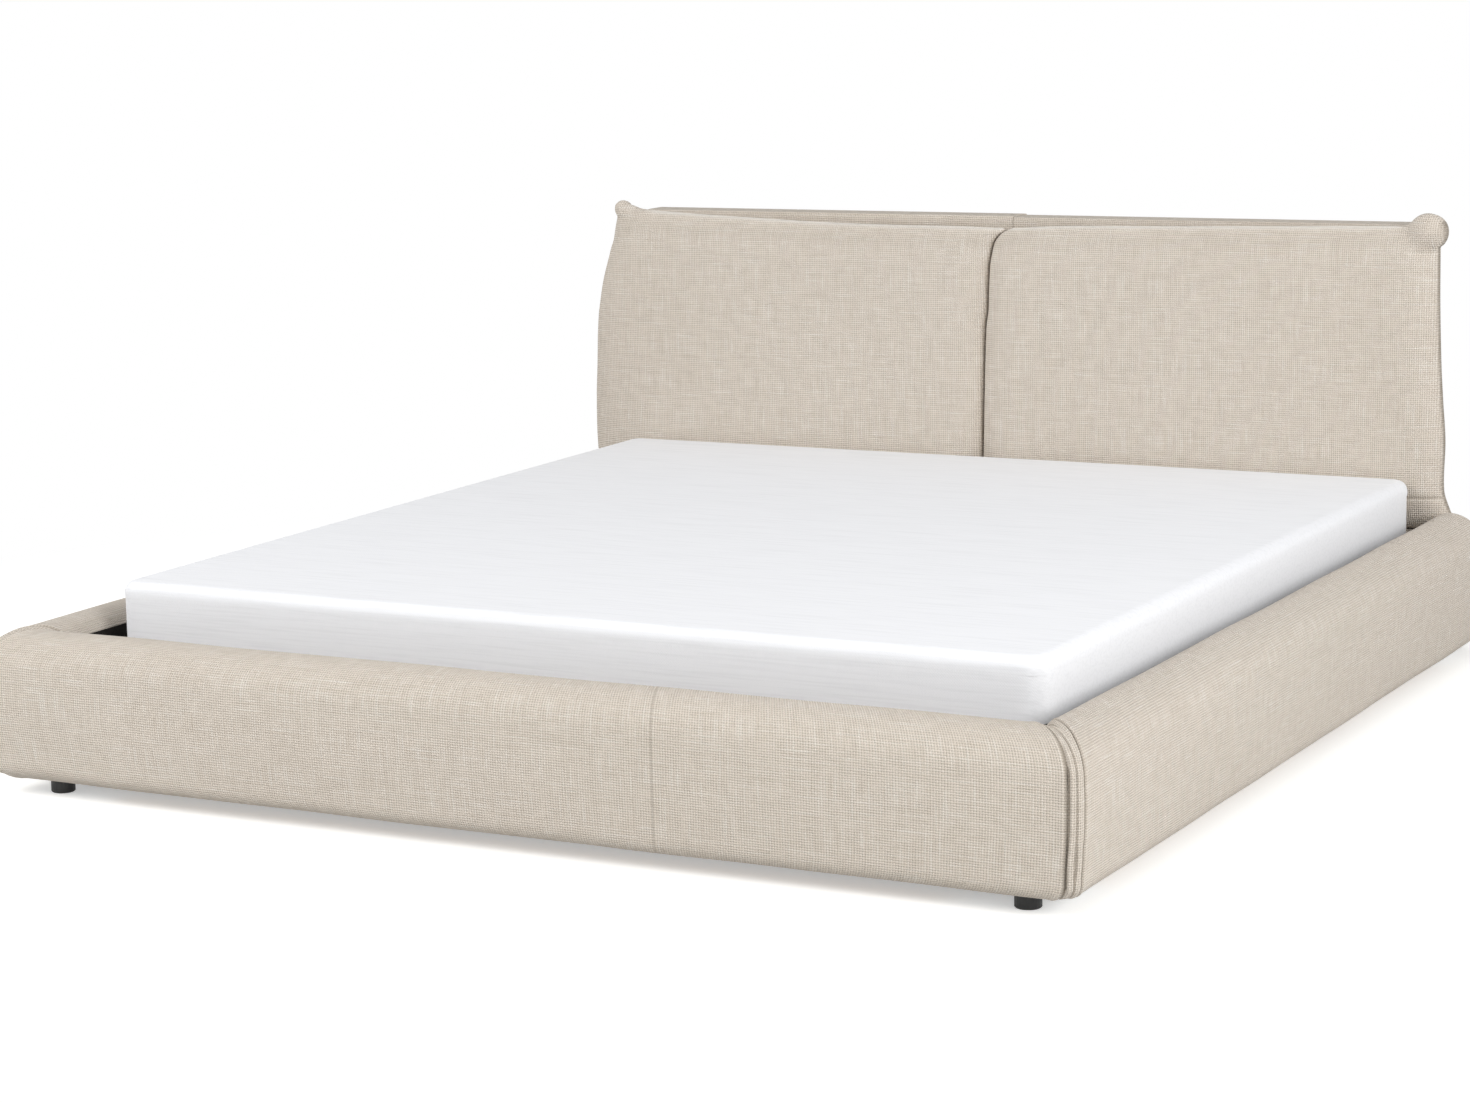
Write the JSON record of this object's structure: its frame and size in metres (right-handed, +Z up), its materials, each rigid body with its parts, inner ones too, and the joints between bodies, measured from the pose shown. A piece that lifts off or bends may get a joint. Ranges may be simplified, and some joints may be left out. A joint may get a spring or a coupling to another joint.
{
  "type": "waterbed",
  "caption": "Low upholstered bed frame with rounded rails and two hung headboard cushions round a softside water mattress with a lift-off cover.",
  "frame": {"origin": "on the floor, under the middle of the whole bed", "axes": "+Z up, +Y from the foot towards the headboard, +X to the right seen from the foot"},
  "size_m": [2.1, 2.3296, 0.894],
  "materials": {
    "upholstery_cloth": "matte",
    "cover_cloth": "matte",
    "base_cloth": "matte",
    "hook_cloth": "matte",
    "pine": "matte",
    "plywood": "matte",
    "black_plastic": "satin",
    "zinc_steel": "satin",
    "foam": "matte",
    "heater_vinyl": "matte",
    "liner_vinyl": "satin",
    "water_vinyl": "gloss",
    "white_plastic": "satin"
  },
  "bodies": {
    "bed": {"left_rail_sleeve": "upholstery_cloth", "right_rail_sleeve": "upholstery_cloth", "foot_rail_sleeve": "upholstery_cloth", "head_beam_sleeve": "upholstery_cloth", "headboard_upholstery": "upholstery_cloth", "left_rail_core": "pine", "right_rail_core": "pine", "foot_rail_core": "pine", "head_beam_core": "pine", "headboard_board": "plywood", "left_deck_ledger": "pine", "right_deck_ledger": "pine", "left_pedestal_board": "plywood", "middle_pedestal_board": "plywood", "right_pedestal_board": "plywood", "foot_pedestal_cross_board": "plywood", "head_pedestal_cross_board": "plywood", "deck_panel_1": "plywood", "deck_panel_2": "plywood", "deck_panel_3": "plywood", "front_left_foot": "black_plastic", "front_right_foot": "black_plastic", "rear_left_foot": "black_plastic", "rear_right_foot": "black_plastic", "front_left_corner_plate": "zinc_steel", "front_right_corner_plate": "zinc_steel", "rear_left_corner_plate": "zinc_steel", "rear_right_corner_plate": "zinc_steel", "front_left_side_screw": "zinc_steel", "front_left_cross_screw": "zinc_steel", "front_right_side_screw": "zinc_steel", "front_right_cross_screw": "zinc_steel", "rear_left_side_screw": "zinc_steel", "rear_left_cross_screw": "zinc_steel", "rear_right_side_screw": "zinc_steel", "rear_right_cross_screw": "zinc_steel", "insulation_mat": "foam", "left_heater": "heater_vinyl", "right_heater": "heater_vinyl", "left_bolster": "foam", "right_bolster": "foam", "foot_bolster": "foam", "head_bolster": "foam", "thermal_divider": "foam", "safety_liner": "liner_vinyl", "left_water_core": "water_vinyl", "right_water_core": "water_vinyl", "cover_base": "base_cloth", "zip_chain": "black_plastic"},
    "left_cushion": {"left_cushion": "upholstery_cloth", "left_flap": "upholstery_cloth", "left_hook_strip": "hook_cloth"},
    "right_cushion": {"right_cushion": "upholstery_cloth", "right_flap": "upholstery_cloth", "right_hook_strip": "hook_cloth"},
    "mattress_cover": {"cover_top": "cover_cloth", "cover_border": "cover_cloth"},
    "zip_slider": {"zip_slider": "zinc_steel"},
    "left_valve_cap": {"left_valve_cap": "white_plastic"},
    "right_valve_cap": {"right_valve_cap": "white_plastic"}
  },
  "joints": [
    {"name": "left_cushion_lift", "type": "slide", "parent": "bed", "child": "left_cushion", "axis": [0, 0, 1], "range_m": [0, 0.45]},
    {"name": "right_cushion_lift", "type": "slide", "parent": "bed", "child": "right_cushion", "axis": [0, 0, 1], "range_m": [0, 0.45]},
    {"name": "cover_lift", "type": "slide", "parent": "bed", "child": "mattress_cover", "axis": [0, 0, 1], "range_m": [0, 0.3]},
    {"name": "zip_slide", "type": "slide", "parent": "bed", "child": "zip_slider", "axis": [0, 1, 0], "range_m": [0, 1.74]},
    {"name": "left_valve_turn", "type": "hinge", "parent": "bed", "child": "left_valve_cap", "pos_m": [-0.45, -0.61485, 0.3173], "axis": [0, 0, 1], "range_deg": [0, 540]},
    {"name": "right_valve_turn", "type": "hinge", "parent": "bed", "child": "right_valve_cap", "pos_m": [0.45, -0.61485, 0.3173], "axis": [0, 0, 1], "range_deg": [0, 540]}
  ]
}
